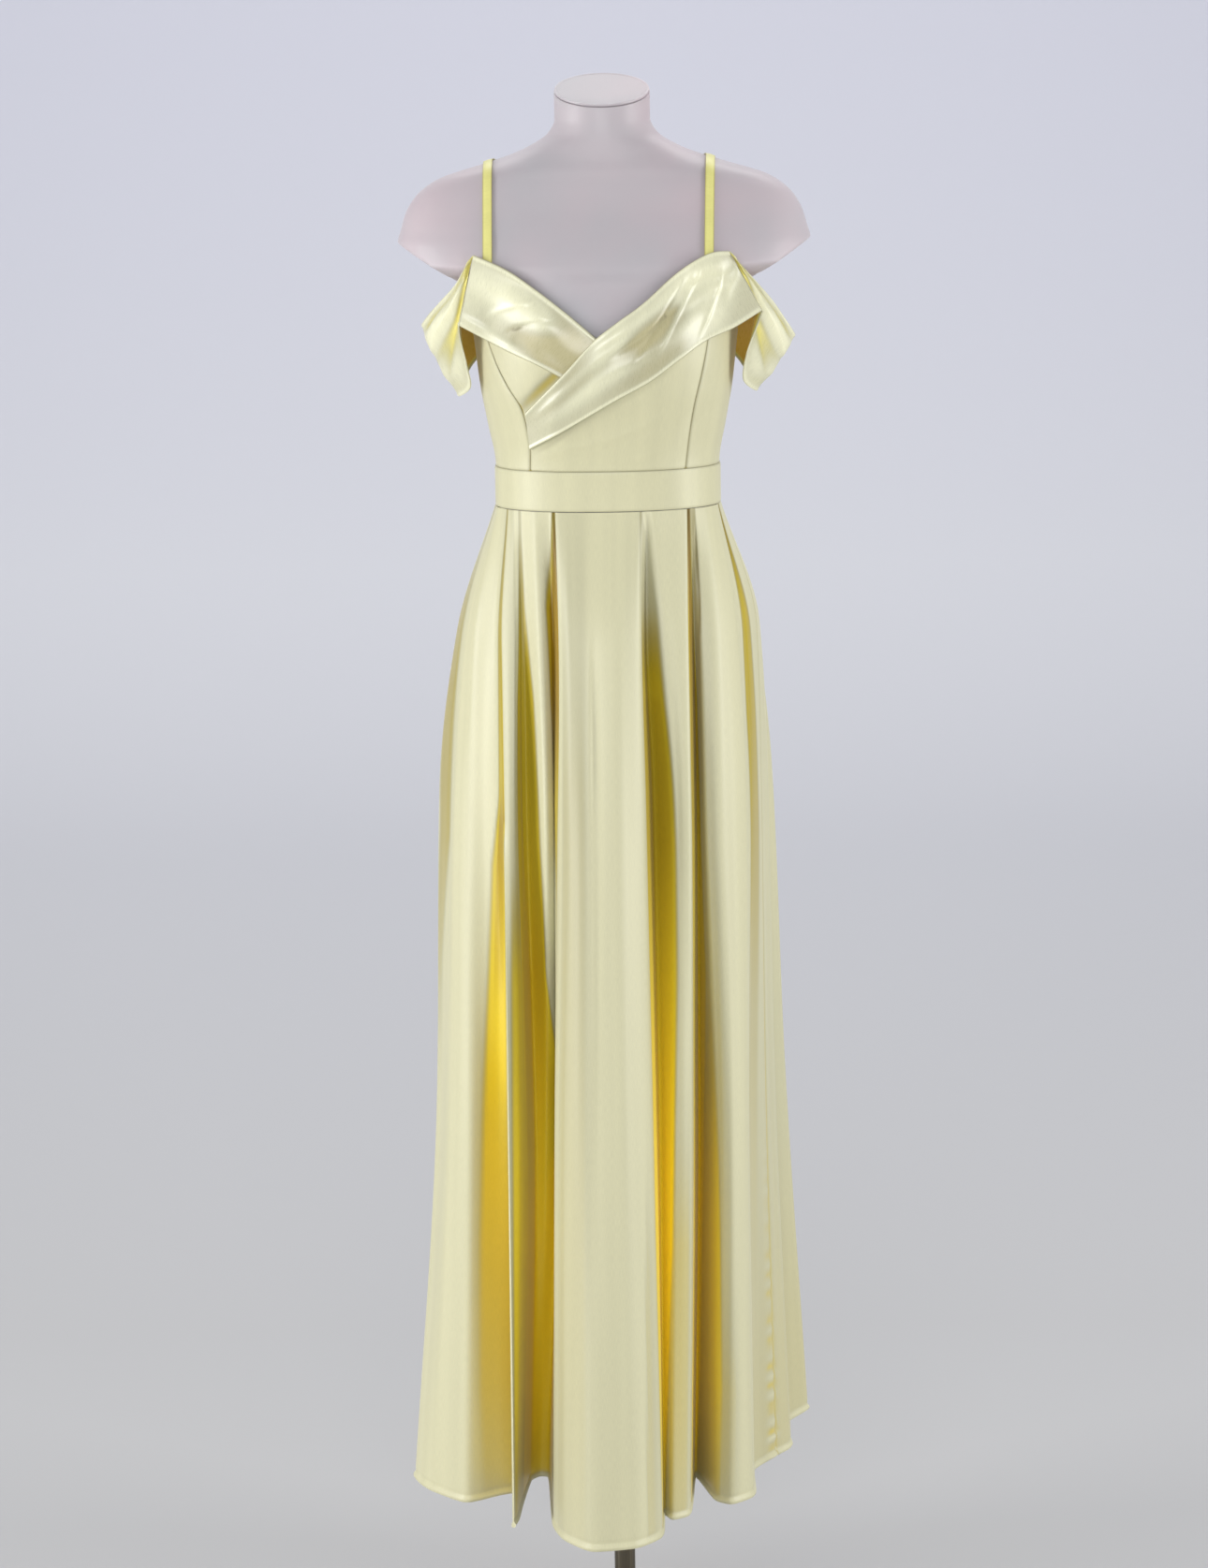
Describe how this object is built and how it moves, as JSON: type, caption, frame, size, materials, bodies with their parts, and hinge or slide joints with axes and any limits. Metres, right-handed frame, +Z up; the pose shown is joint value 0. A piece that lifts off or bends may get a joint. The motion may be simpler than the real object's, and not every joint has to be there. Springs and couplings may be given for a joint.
{
  "type": "off-shoulder evening dress on a limbless dress form and stand",
  "caption": "Floor-length satin evening dress with a crossed draped neckline, shoulder straps, off-shoulder drapes, pleated skirt and front slit, on a limbless dress form and stand.",
  "frame": {"origin": "centre of the stand base's underside, on the floor", "axes": "+Z up; the dress faces -Y; the wearer's left is +X"},
  "size_m": [0.4303, 0.4449, 1.6592],
  "materials": {
    "satin": "satin",
    "strap_ribbon": "satin",
    "form_plastic": "frosted",
    "stand_metal": "dark satin"
  },
  "bodies": {
    "root": {"form_torso": "form_plastic", "form_neck_cap": "form_plastic", "stand_pole": "stand_metal", "stand_base": "stand_metal", "bodice_side_front_right": "satin", "bodice_side_front_left": "satin", "bodice_centre_front": "satin", "bodice_cup_right": "satin", "bodice_back_right": "satin", "bodice_back_left": "satin", "neckline_band_right": "satin", "wrap_front": "satin", "sleeve_drape_right": "satin", "sleeve_drape_left": "satin", "strap_right": "strap_ribbon", "strap_left": "strap_ribbon", "waistband_front": "satin", "waistband_back_right": "satin", "waistband_back_left": "satin", "skirt_side_front": "satin", "skirt_front": "satin", "skirt_back_right": "satin", "skirt_back_left": "satin"}
  },
  "joints": []
}
